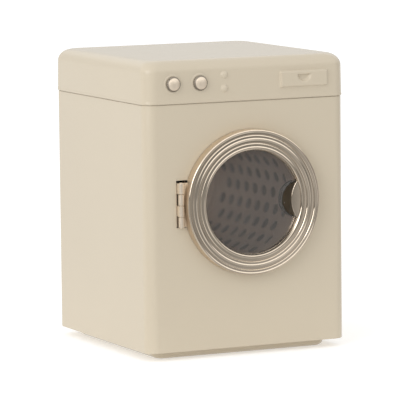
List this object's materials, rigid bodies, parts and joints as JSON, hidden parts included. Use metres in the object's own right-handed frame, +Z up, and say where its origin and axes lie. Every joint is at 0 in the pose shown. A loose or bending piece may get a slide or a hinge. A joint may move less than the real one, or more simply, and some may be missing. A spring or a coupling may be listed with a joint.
{
  "type": "toy washing machine",
  "caption": "Dolls' washing machine in painted tinplate with a hinged round window door, a turning perforated drum and turning dials.",
  "frame": {"origin": "on the floor, under the middle of the cabinet", "axes": "+X to the right seen from the front, +Y from the door to the back, +Z up"},
  "size_m": [0.0958, 0.1017, 0.1283],
  "materials": {
    "cream_paint": "satin cream enamel",
    "satin_nickel": "satin champagne nickel plating",
    "bare_steel": "plain zinc-plated steel",
    "drum_steel": "dull pressed steel",
    "clear_window": "clear moulded plastic with a faint grey veil",
    "smoked_plastic": "smoked moulded plastic",
    "nylon": "natural nylon"
  },
  "bodies": {
    "cabinet": {"cabinet_wrap": "cream_paint", "lid": "cream_paint", "base_tray": "cream_paint", "neck_ring": "drum_steel", "drum_bracket": "bare_steel", "drum_axle": "bare_steel", "axle_washer": "bare_steel", "axle_push_nut": "bare_steel", "hinge_leaf_cabinet": "satin_nickel", "hinge_pin": "satin_nickel"},
    "drum": {"drum_shell": "drum_steel", "drum_back": "drum_steel", "drum_front_rim": "drum_steel", "drum_bushing": "nylon"},
    "door": {"door_ring": "satin_nickel", "door_back_ring": "satin_nickel", "door_window": "clear_window", "finger_cup": "smoked_plastic", "grip_plate": "satin_nickel", "door_screws": "bare_steel", "door_magnet": "bare_steel", "hinge_leaf_door": "satin_nickel", "hinge_rivets": "bare_steel"},
    "left_dial": {"dial_left": "satin_nickel", "dial_left_clip": "bare_steel"},
    "right_dial": {"dial_right": "satin_nickel", "dial_right_clip": "bare_steel"}
  },
  "joints": [
    {"name": "door_swing", "type": "hinge", "parent": "cabinet", "child": "door", "pos_m": [-0.0321, -0.0496, 0.0664], "axis": [0, 0, -1], "range_deg": [0, 120]},
    {"name": "drum_spin", "type": "hinge", "parent": "cabinet", "child": "drum", "pos_m": [0.001, 0, 0.0664], "axis": [0, -1, 0], "continuous": true},
    {"name": "dial_left_turn", "type": "hinge", "parent": "cabinet", "child": "left_dial", "pos_m": [-0.0349, -0.0487, 0.1184], "axis": [0, -1, 0], "continuous": true},
    {"name": "dial_right_turn", "type": "hinge", "parent": "cabinet", "child": "right_dial", "pos_m": [-0.0222, -0.0487, 0.1184], "axis": [0, -1, 0], "continuous": true}
  ]
}
